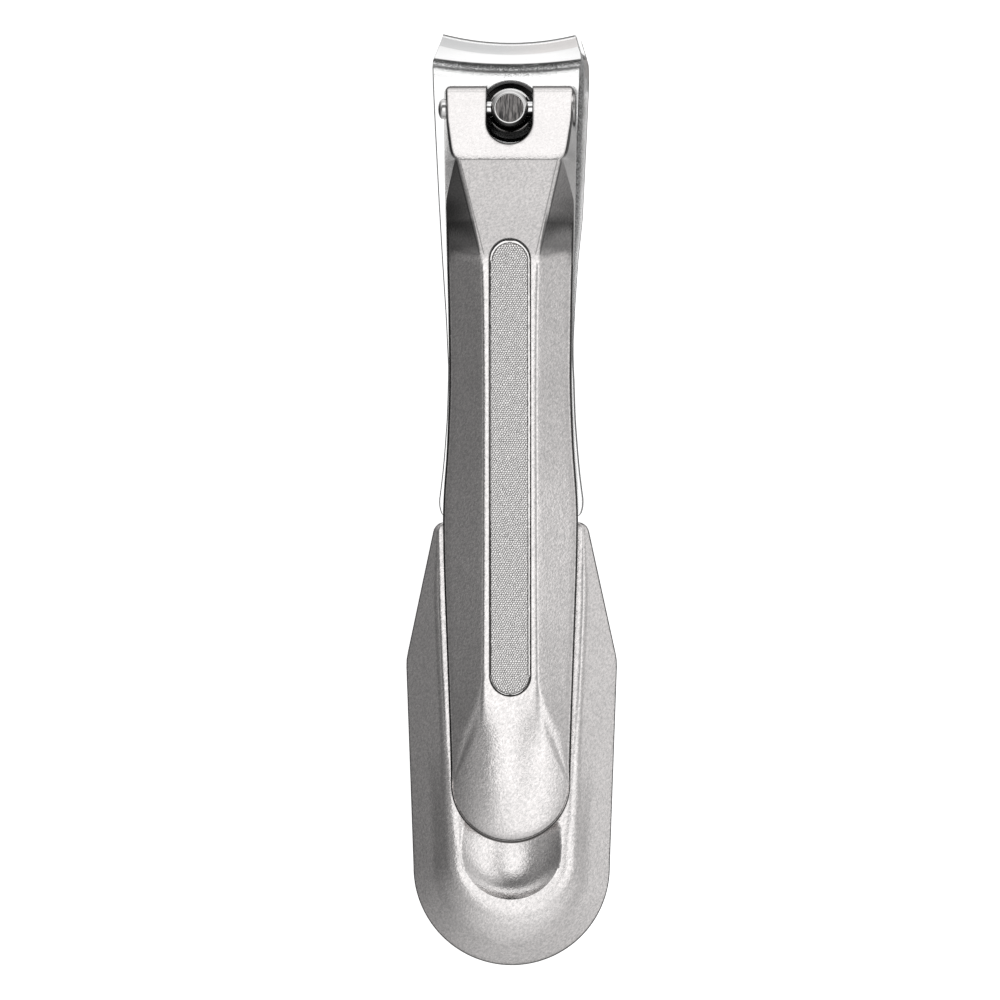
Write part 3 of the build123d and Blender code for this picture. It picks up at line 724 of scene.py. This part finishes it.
class Maker:
    """Builds one node material, with lengths in millimetres."""

    def __init__(self, name):
        self.mat = bpy.data.materials.new(name)
        self.mat.use_nodes = True
        self.tree = self.mat.node_tree
        self.skin = self.tree.nodes["Principled BSDF"]
        place = self.add("ShaderNodeTexCoord")
        scale = self.add("ShaderNodeVectorMath", operation="SCALE")
        scale.inputs["Scale"].default_value = 1 / MM
        self.link(place.outputs["Object"], scale.inputs[0])
        self.at = scale.outputs[0]
        parts = self.add("ShaderNodeSeparateXYZ")
        self.link(self.at, parts.inputs[0])
        self.x, self.y, self.z = parts.outputs
        facing = self.add("ShaderNodeSeparateXYZ")
        self.link(place.outputs["Normal"], facing.inputs[0])
        self.nx, self.ny, self.nz = facing.outputs

    def add(self, kind, **settings):
        node = self.tree.nodes.new(kind)
        for key, value in settings.items():
            setattr(node, key, value)
        return node

    def link(self, source, target):
        self.tree.links.new(source, target)

    def put(self, value, socket):
        if isinstance(value, bpy.types.NodeSocket):
            self.link(value, socket)
        else:
            socket.default_value = value

    def stretch(self, x, y, z, turn=0.0):
        node = self.add("ShaderNodeVectorMath", operation="MULTIPLY")
        spin = self.add("ShaderNodeVectorRotate", rotation_type="Z_AXIS")
        spin.inputs["Angle"].default_value = math.radians(turn)
        self.link(self.at, spin.inputs["Vector"])
        self.link(spin.outputs["Vector"], node.inputs[0])
        node.inputs[1].default_value = (x, y, z)
        return node.outputs[0]

    def noise(self, scale, detail=2.0, rough=0.5, at=None):
        node = self.add("ShaderNodeTexNoise")
        self.link(at or self.at, node.inputs["Vector"])
        node.inputs["Scale"].default_value = scale
        node.inputs["Detail"].default_value = detail
        node.inputs["Roughness"].default_value = rough
        return node.outputs["Fac"]

    def cells(self, scale, feature="F1"):
        node = self.add("ShaderNodeTexVoronoi", feature=feature)
        self.link(self.at, node.inputs["Vector"])
        node.inputs["Scale"].default_value = scale
        return node.outputs["Distance"]

    def remap(self, value, low, high, out_low=0.0, out_high=1.0):
        node = self.add("ShaderNodeMapRange")
        self.put(value, node.inputs["Value"])
        for socket, v in zip(("From Min", "From Max", "To Min", "To Max"), (low, high, out_low, out_high)):
            node.inputs[socket].default_value = v
        return node.outputs["Result"]

    def math(self, operation, a, b=0.0):
        node = self.add("ShaderNodeMath", operation=operation)
        self.put(a, node.inputs[0])
        self.put(b, node.inputs[1])
        return node.outputs[0]

    def band(self, value, low, high, soft):
        """1 between low and high and 0 outside, over a soft edge."""
        rise = self.remap(value, low - soft, low + soft)
        fall = self.remap(value, high - soft, high + soft, 1.0, 0.0)
        return self.math("MULTIPLY", rise, fall)

    def mix(self, factor, a, b):
        node = self.add("ShaderNodeMix", data_type="RGBA")
        self.put(factor, node.inputs["Factor"])
        self.put(a, node.inputs["A"])
        self.put(b, node.inputs["B"])
        return node.outputs["Result"]

    def bump(self, height, micron, normal=None):
        node = self.add("ShaderNodeBump")
        node.inputs["Distance"].default_value = micron * 1e-6
        self.link(height, node.inputs["Height"])
        if normal is not None:
            self.link(normal, node.inputs["Normal"])
        return node.outputs["Normal"]

    def finish(self, colour, rough, normal=None, metal=1.0):
        self.put(colour, self.skin.inputs["Base Color"])
        self.put(rough, self.skin.inputs["Roughness"])
        self.skin.inputs["Metallic"].default_value = metal
        if normal is not None:
            self.link(normal, self.skin.inputs["Normal"])
        return self.mat


def rgb(r, g=None, b=None):
    """A colour, or a grey when only r is given."""
    return (r, g if g is not None else r, b if b is not None else r, 1.0)


def satin_zinc(name, tone=0.91, lever=False):
    """Die-cast zinc under a satin plating: fine orange peel and a few pits, with painted shade on steep
    edges and fine painted dark lines at folds.
    """
    m = Maker(name)
    grain = m.noise(5.6, 1.5, 0.55)
    swell = m.noise(0.5, 2.0, 0.5)
    dust = m.noise(22.0, 1.0, 0.5)
    pits = m.remap(m.cells(0.42), 0.0, 0.16, 1.0, 0.0)
    normal = m.bump(grain, 17)
    normal = m.bump(swell, 6, normal)
    normal = m.bump(dust, 0.9, normal)
    normal = m.bump(pits, 12, normal)
    warm = (1.03, 0.992, 0.982)
    light, dark = [tone * c for c in warm], [tone * 0.95 * c for c in warm]
    colour = m.mix(m.remap(m.noise(0.25, 2.0), 0.35, 0.65), rgb(*light), rgb(*dark))
    speck = m.remap(m.noise(5.4, 2.0, 0.65, m.stretch(1.0, 0.6, 1.0, 35)), 0.32, 0.68, 0.0, 0.58)
    if lever:
        # in front of the cam head's peak the specks are fainter and the colour is evenly darker
        speck = m.math("ADD", m.math("MULTIPLY", speck, m.remap(m.y, 32.2, 32.4, 1.0, 0.35)),
                       m.remap(m.y, 32.2, 32.4, 0.0, 0.27))
    colour = m.mix(speck, colour, rgb(tone * 0.45))
    # fine painted dark lines where rounded folds leave the flat tops, in front of y -24
    fold = m.math("MULTIPLY", m.band(m.nz, 0.965, 0.99, 0.006), m.remap(m.y, -24.0, -18.0))
    fold = m.math("MULTIPLY", fold, m.math("LESS_THAN", m.math("ABSOLUTE", m.ny), 0.1))
    colour = m.mix(m.math("MULTIPLY", fold, 0.6), colour, rgb(0.1))
    # painted shade on steep faces, such as rounded edges and walls
    edge = m.band(m.nz, 0.14, 0.62, 0.06)
    if lever:
        steep = m.band(m.y, 22.6, CREASE_Y + 0.3, 0.3)
        edge = m.math("MULTIPLY", edge, m.math("SUBTRACT", 1.0, steep))
        # painted shade on the steep faces beside the slope, and fine painted dark crease lines along its
        # borders
        sloping = m.band(m.nz, 0.2, 0.86, 0.02)
        left = m.math("MULTIPLY", m.math("LESS_THAN", m.x, 0.0), m.remap(m.y, 32.1, 32.5, 0.6, 0.0))
        front = m.math("MAXIMUM", m.remap(m.y, 26.4, 27.6, 1.0, 0.0), left)
        front = m.math("MULTIPLY", m.remap(m.y, 22.0, 24.2), front)
        shade = m.math("MULTIPLY", m.math("MULTIPLY", sloping, front), 0.74)
        colour = m.mix(shade, colour, rgb(0.05))
        out = m.math("SUBTRACT", m.math("ABSOLUTE", m.x), m.remap(m.y, 23.2, 32.3, 2.66, 4.88))
        lines = m.math("MAXIMUM", m.band(out, -0.3, -0.2, 0.03), m.band(out, 0.1, 0.22, 0.03))
        border = m.math("MULTIPLY", lines, m.band(m.y, 23.4, 32.2, 0.1))
        # painted shade on the thumb end's rounded rim, standing for the shadow of the gap under it
        tip = m.math("MULTIPLY", m.band(m.nz, 0.1, 0.72, 0.05), m.remap(m.y, -31.5, -28.0, 1.0, 0.0))
        edge = m.math("MAXIMUM", edge, tip)
        # painted dark crease line across the cam head's peak, and a fainter one just behind the front edge
        crease = m.math("MULTIPLY", m.band(m.y, CREASE_Y - 0.13, CREASE_Y - 0.03, 0.02),
                        m.math("LESS_THAN", m.math("ABSOLUTE", m.x), 4.7))
        brow = m.math("MULTIPLY", m.band(m.y, LEVER_FRONT - 0.66, LEVER_FRONT - 0.52, 0.04), 0.4)
        crease = m.math("MAXIMUM", crease, brow)
        line = m.math("MULTIPLY", m.math("MAXIMUM", border, crease), m.math("GREATER_THAN", m.nz, 0.3))
        colour = m.mix(m.math("MULTIPLY", line, 0.55), colour, rgb(0.06))
        # painted shade over the right cheek's pad, dulling its reflections
        pad = m.math("MULTIPLY", m.math("GREATER_THAN", m.x, 6.0),
                     m.band(m.y, POST_Y - 2, POST_Y + 2.3, 0.2))
        colour = m.mix(m.math("MULTIPLY", pad, 0.6), colour, rgb(0.1))
    # the painted shade on steep edges goes on last
    colour = m.mix(m.math("MULTIPLY", edge, 0.9), colour, rgb(0.04, 0.037, 0.035))
    rough = m.remap(grain, 0.2, 0.8, 0.17, 0.25)
    return m.finish(colour, rough, normal)


def painted_shade(name, tone=0.07):
    """Painted shade on the same castings and steels where light hardly reaches: dark and dull."""
    m = Maker(name)
    film = m.noise(1.5, 3.0, 0.6)
    return m.finish(m.mix(film, rgb(tone), rgb(tone * 1.6)), m.remap(film, 0.2, 0.8, 0.3, 0.5),
                    m.bump(film, 10))


def polished(name, tone=0.93, rough=0.15, grain=1.2, outline=0.0):
    """Polished steel. outline sets how much painted shade darkens its rounded long edges."""
    m = Maker(name)
    fine = m.noise(14.0, 2.0, 0.6)
    streak = m.noise(3.0, 2.0, 0.5, m.stretch(1.0, 0.25, 1.0))
    dull = rgb(tone * 0.96, tone * 0.955, tone * 0.95)
    colour = m.mix(m.remap(streak, 0.3, 0.7, 0.0, 0.5), rgb(tone), dull)
    if outline:
        side = m.band(m.math("ABSOLUTE", m.nx), 0.4, 0.985, 0.05)
        colour = m.mix(m.math("MULTIPLY", side, outline), colour, rgb(0.06))
    return m.finish(colour, m.remap(streak, 0.3, 0.7, rough * 0.85, rough * 1.15), m.bump(fine, grain))


def sheared(name):
    """The torn grey surface of a sheared edge."""
    m = Maker(name)
    tear = m.noise(5.0, 3.0, 0.65, m.stretch(1.0, 1.0, 0.35))
    normal = m.bump(tear, 60)
    colour = m.mix(m.remap(tear, 0.4, 0.62), rgb(0.16), rgb(0.72))
    return m.finish(colour, 0.34, normal)


def bend_grain(name):
    """The bend behind the ground faces: a dark band of unpolished skin, which thins out into
    specks towards the polished back of the blade."""
    m = Maker(name)
    across = m.math("DIVIDE", m.math("POWER", m.math("ABSOLUTE", m.x), 2.0), 96.0)
    back = m.math("SUBTRACT", m.math("ADD", across, EDGE_CENTRE - EDGE_RADIUS), m.y)
    specks = m.noise(11.0, 2.0, 0.8)
    streaks = m.noise(2.2, 2.0, 0.6, m.stretch(0.5, 1.0, 1.0))
    start = m.remap(back, 2.26, 2.36)
    side_on = m.math("MULTIPLY", across, 0.4)
    worn = m.math("ADD", m.math("ADD", back, side_on),
                  m.math("MULTIPLY", m.math("SUBTRACT", specks, 0.5), 2.6))
    fade = m.remap(worn, 2.75, 3.5, 1.0, 0.0)
    skin = m.math("MULTIPLY", start, fade)
    tone = m.mix(m.remap(m.math("MULTIPLY", specks, streaks), 0.26, 0.46), rgb(0.05), rgb(0.36))
    colour = m.mix(skin, rgb(0.93), tone)
    # painted shade on the rounded long edges, as outline does in the polished steel
    side = m.band(m.math("ABSOLUTE", m.nx), 0.4, 0.985, 0.05)
    colour = m.mix(m.math("MULTIPLY", side, 0.85), colour, rgb(0.06))
    return m.finish(colour, m.remap(skin, 0.0, 1.0, 0.15, 0.3), m.bump(specks, 9))


def ground(name):
    """Finely ground steel, cooler on the left and warmer on the right."""
    m = Maker(name)
    lines = m.noise(9.0, 2.0, 0.5, m.stretch(0.12, 1.0, 1.0))
    cool = m.mix(lines, rgb(0.77, 0.772, 0.775), rgb(0.72, 0.722, 0.725))
    warm = m.mix(lines, rgb(0.86, 0.835, 0.825), rgb(0.8, 0.775, 0.765))
    return m.finish(m.mix(m.remap(m.x, -1.0, 3.0), cool, warm), 0.26, m.bump(lines, 1.2))


def post_finish(name):
    """Polished steel with a dull sawn top face, grained lengthways, and painted shade on the neck below
    the head, except a bright collar band.
    """
    m = Maker(name)
    across = m.math("POWER", m.math("ABSOLUTE", m.x), 2.0)
    along = m.math("POWER", m.math("ABSOLUTE", m.math("SUBTRACT", m.y, POST_Y)), 2.0)
    radius = m.math("SQRT", m.math("ADD", across, along))
    inner = m.math("LESS_THAN", radius, 1.335)
    face = m.math("MULTIPLY", inner, m.math("GREATER_THAN", m.z, post_high[2] - 0.1))
    lines = m.noise(6.5, 3.0, 0.65, m.stretch(1.0, 0.12, 1.0))
    dull = m.mix(m.remap(lines, 0.38, 0.62), rgb(0.045), rgb(0.3, 0.285, 0.28))
    colour = m.mix(face, m.mix(m.noise(3.0, 2.0), rgb(0.85), rgb(0.76, 0.75, 0.74)), dull)
    # painted shade below the head, leaving the collar band bright
    low = m.math("LESS_THAN", m.z, post_high[2] - 0.5)
    collar = m.band(m.z, 12.1, 12.36, 0.02)
    colour = m.mix(m.math("MULTIPLY", low, m.math("SUBTRACT", 1.0, collar)), colour, rgb(0.08))
    rough = m.math("ADD", m.math("MULTIPLY", face, 0.22), 0.12)
    return m.finish(colour, rough, m.bump(lines, 6.0))


def pin_finish(name):
    """Polished steel, with the shank past the head painted brighter as a painted glint where it crosses
    the slot.
    """
    m = Maker(name)
    shank_glint = m.math("GREATER_THAN", m.x, pin_low[0] + 0.8)
    colour = m.mix(m.noise(4.0, 2.0), rgb(0.85), rgb(0.75, 0.74, 0.73))
    return m.finish(m.mix(shank_glint, colour, rgb(0.95)), 0.15, m.bump(m.noise(12.0, 2.0), 0.8))


def file_finish(name):
    """Bright cells, with painted shade in the etched valleys."""
    m = Maker(name)
    valley = m.add("ShaderNodeAttribute", attribute_name="valley")
    tone = m.noise(2.2, 2.0)
    bright = m.mix(tone, rgb(1.0, 0.985, 0.975), rgb(0.93, 0.915, 0.905))
    colour = m.mix(valley.outputs["Fac"], bright, rgb(0.085, 0.08, 0.078))
    return m.finish(colour, 0.24, m.bump(m.noise(30.0, 1.0), 1.2))


# ------------------------------------------------------------------ making and joining the pieces

lever = build_lever()
grip_top = build_grip_top()
grip_bottom = build_grip_bottom()
upper = build_blade("upper_blade_forged", 1)
lower = build_blade("lower_blade_forged", -1)
nail_file = build_file()
post = build_post()
pin = build_pin()

ZINC = satin_zinc("satin_zinc")
LEVER_ZINC = satin_zinc("lever_zinc", 0.955, lever=True)
PAINTED_SHADE = painted_shade("painted_shade")
STEEL_TOP = polished("blade_polished", outline=0.85)
STEEL_SIDE = sheared("blade_sheared")
STEEL_GROUND = ground("blade_ground")
STEEL_BEND = bend_grain("blade_bend")
STEELS = [STEEL_TOP, STEEL_SIDE, STEEL_GROUND, STEEL_BEND, PAINTED_SHADE]
TOP, SIDE, GROUND, BEND, DARK = range(5)
FASTENER = polished("fastener_steel", 0.7, 0.28, 2.0)

for piece, body, node, slot, mats in (
        (lever, "lever", "lever", "satin_zinc", [LEVER_ZINC, PAINTED_SHADE]),
        (grip_top, "grip", "grip_top", "satin_zinc", [ZINC]),
        (grip_bottom, "grip", "grip_bottom", "satin_zinc", [ZINC]),
        (upper, "upper_jaw", "upper_blade", "blade_steel", STEELS),
        (lower, "lower_jaw", "lower_blade", "blade_steel", STEELS),
        (nail_file, "lever", "nail_file_plate", "file_steel", [file_finish("file_etched")]),
        (post, "post", "pivot_post", "post_steel", [post_finish("post_steel")]),
        (pin, "lever", "cross_pin", "pin_steel", [pin_finish("pin_steel")])):
    piece.data.materials.clear()
    for mat in mats:
        piece.data.materials.append(mat)
    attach(piece, body)
    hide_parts(node)

# the blades' sheared sides, ground bevels and bends, and painted shade in the hole round the post and on
# the lower blade's face around it
for piece in (upper, lower):
    for face in piece.data.polygons:
        x, y, z = face.center / MM
        depth = abs(z - MID_Z)
        n = face.normal
        back = EDGE_CENTRE - EDGE_RADIUS + x * x / (2 * REAR_CURVE) - y
        around = math.hypot(x, y - POST_Y)
        index = TOP
        if around < 2.75 and abs(n.z) < 0.5 or around < 5 and piece is lower and n.z > 0.5:
            index = DARK
        elif abs(n.x) > 0.75 and abs(x) > 5.0:
            index = TOP if piece is lower and x > 0 else SIDE
        elif y > 40.0 and 1.26 < depth < 2.6:
            index = GROUND
        elif back < 4.6 and depth > 4.0:
            index = BEND
        face.material_index = index

# painted shade in the lever's slot and file pocket
for face in lever.data.polygons:
    x, y, z = face.center / MM
    slot = abs(x) < 2.4 and y > 33.6 and abs(face.normal.z) < 0.6 and z < plate_z(y) - 0.32
    deep = ridge_z(y) - z
    pocket = abs(x) < 2.1 and RIDGE_REAR_Y - 1 < y < RIDGE_FRONT_Y + 2 and 0.075 < deep < 0.6
    pocket = pocket and (face.normal.z > 0.7 or not -4.0 < y < 20.6)
    face.material_index = 1 if slot or pocket else 0

for name, node in frame["nodes"].items():
    if name.startswith(("tang_pin", "grip_screw")):
        node.data.materials.clear()
        node.data.materials.append(FASTENER)

# ------------------------------------------------------------------ floor, light and camera

floor_mesh = bpy.data.meshes.new("floor")
floor_mesh.from_pydata([(-3, -3, 0), (3, -3, 0), (3, 3, 0), (-3, 3, 0)], [], [(0, 1, 2, 3)])
floor = bpy.data.objects.new("floor", floor_mesh)
bpy.context.scene.collection.objects.link(floor)
floor.location.z = -0.0001
paper = bpy.data.materials.new("floor_paper")
paper.use_nodes = True
sheet = paper.node_tree.nodes["Principled BSDF"]
sheet.inputs["Base Color"].default_value = (0.9, 0.9, 0.9, 1)
sheet.inputs["Roughness"].default_value = 0.9
sheet.inputs["Specular IOR Level"].default_value = 0.0
sheet.inputs["Emission Color"].default_value = (1, 1, 1, 1)
sheet.inputs["Emission Strength"].default_value = 0.75
floor_mesh.materials.append(paper)
floor.visible_glossy = False

world = bpy.data.worlds.new("studio")
bpy.context.scene.world = world
world.use_nodes = True
wt = world.node_tree
wt.nodes.clear()


def wnode(kind, **settings):
    """A node of the world's tree."""
    node = wt.nodes.new(kind)
    for key, value in settings.items():
        setattr(node, key, value)
    return node


def wmath(operation, a, b=0.0):
    """The result of a sum in the world's tree."""
    node = wnode("ShaderNodeMath", operation=operation)
    for value, socket in ((a, node.inputs[0]), (b, node.inputs[1])):
        if isinstance(value, bpy.types.NodeSocket):
            wt.links.new(value, socket)
        else:
            socket.default_value = value
    return node.outputs[0]


# brightness against the angle from straight up, towards each side
BRIGHTEST = 1.4
STUDIO = {
    "right": ((0, 1.3), (7, 1.3), (11, 0.35), (16, 0.35), (20, 1.3), (34, 1.3), (41, 0.9), (47, 0.62),
              (53, 0.5), (60, 0.52), (66, 0.58), (71, 0.7), (76, 0.85), (86, 0.8), (98, 0.15), (120, 0.12),
              (150, 0.3), (165, 0.5), (180, 0.6)),
    "left": ((0, 1.3), (14, 1.3), (20, 0.65), (23, 0.15), (27, 0.13), (31, 0.34), (37, 0.34), (43, 0.18),
             (50, 0.17), (58, 0.15), (66, 0.13), (72, 0.16), (80, 0.28), (88, 0.22), (96, 0.05),
             (118, 0.035), (150, 0.05), (165, 0.45), (180, 0.6)),
    "front": ((0, 1.3), (10, 1.3), (15, 0.5), (22, 0.2), (44, 0.18), (51, 0.9), (56, 1.35), (68, 1.35),
              (78, 1.0), (93, 0.77), (108, 0.77), (118, 1.0), (140, 1.15), (180, 0.95)),
    "rear": ((0, 1.3), (22, 1.15), (36, 0.82), (46, 0.78), (54, 0.79), (62, 0.68), (75, 0.6), (90, 0.4),
             (120, 0.5), (180, 0.9)),
}
SIDES = {"right": (0, 1), "left": (0, -1), "front": (1, 1), "rear": (1, -1)}
sky = wnode("ShaderNodeTexCoord")
axes = wnode("ShaderNodeSeparateXYZ")
wt.links.new(sky.outputs["Generated"], axes.inputs[0])
tilt = wmath("DIVIDE", wmath("ARCCOSINE", axes.outputs["Z"]), math.pi)
flat = wmath("ADD", wmath("ADD", wmath("POWER", axes.outputs["X"], 2.0),
                          wmath("POWER", axes.outputs["Y"], 2.0)), 1e-6)
total = None
for name, stops in STUDIO.items():
    axis, sign = SIDES[name]
    part = wmath("MAXIMUM", wmath("MULTIPLY", axes.outputs[axis], sign), 0.0)
    share = wmath("DIVIDE", wmath("MULTIPLY", part, part), flat)
    ramp = wnode("ShaderNodeValToRGB")
    ramp.color_ramp.interpolation = "EASE"
    while len(ramp.color_ramp.elements) < len(stops):
        ramp.color_ramp.elements.new(0.5)
    for element, (angle, _value) in zip(ramp.color_ramp.elements, stops):
        element.position = angle / 180
    for element, (_angle, value) in zip(ramp.color_ramp.elements, stops):
        element.color = (value / BRIGHTEST, value / BRIGHTEST, value / BRIGHTEST, 1)
    wt.links.new(tilt, ramp.inputs[0])
    glow = wmath("MULTIPLY", wmath("MULTIPLY", ramp.outputs["Color"], share), BRIGHTEST)
    total = glow if total is None else wmath("ADD", total, glow)
back = wnode("ShaderNodeBackground")
wt.links.new(total, back.inputs["Color"])
final = wnode("ShaderNodeOutputWorld")
wt.links.new(back.outputs[0], final.inputs[0])

CAMERA_TILT = math.radians(1.35)
AIM = Vector((-1.082, 0.0, 8.0)) * MM
DISTANCE = 0.6
camera = bpy.data.objects.new("camera", bpy.data.cameras.new("camera"))
bpy.context.scene.collection.objects.link(camera)
camera.location = AIM + Vector((math.sin(CAMERA_TILT), 0, math.cos(CAMERA_TILT))) * DISTANCE
camera.rotation_euler = (0, CAMERA_TILT, 0)
camera.data.sensor_width = 36
camera.data.lens = 36 * DISTANCE / 0.0964
camera.data.clip_start = 0.01
bpy.context.scene.camera = camera
bpy.context.scene.view_settings.view_transform = "Standard"
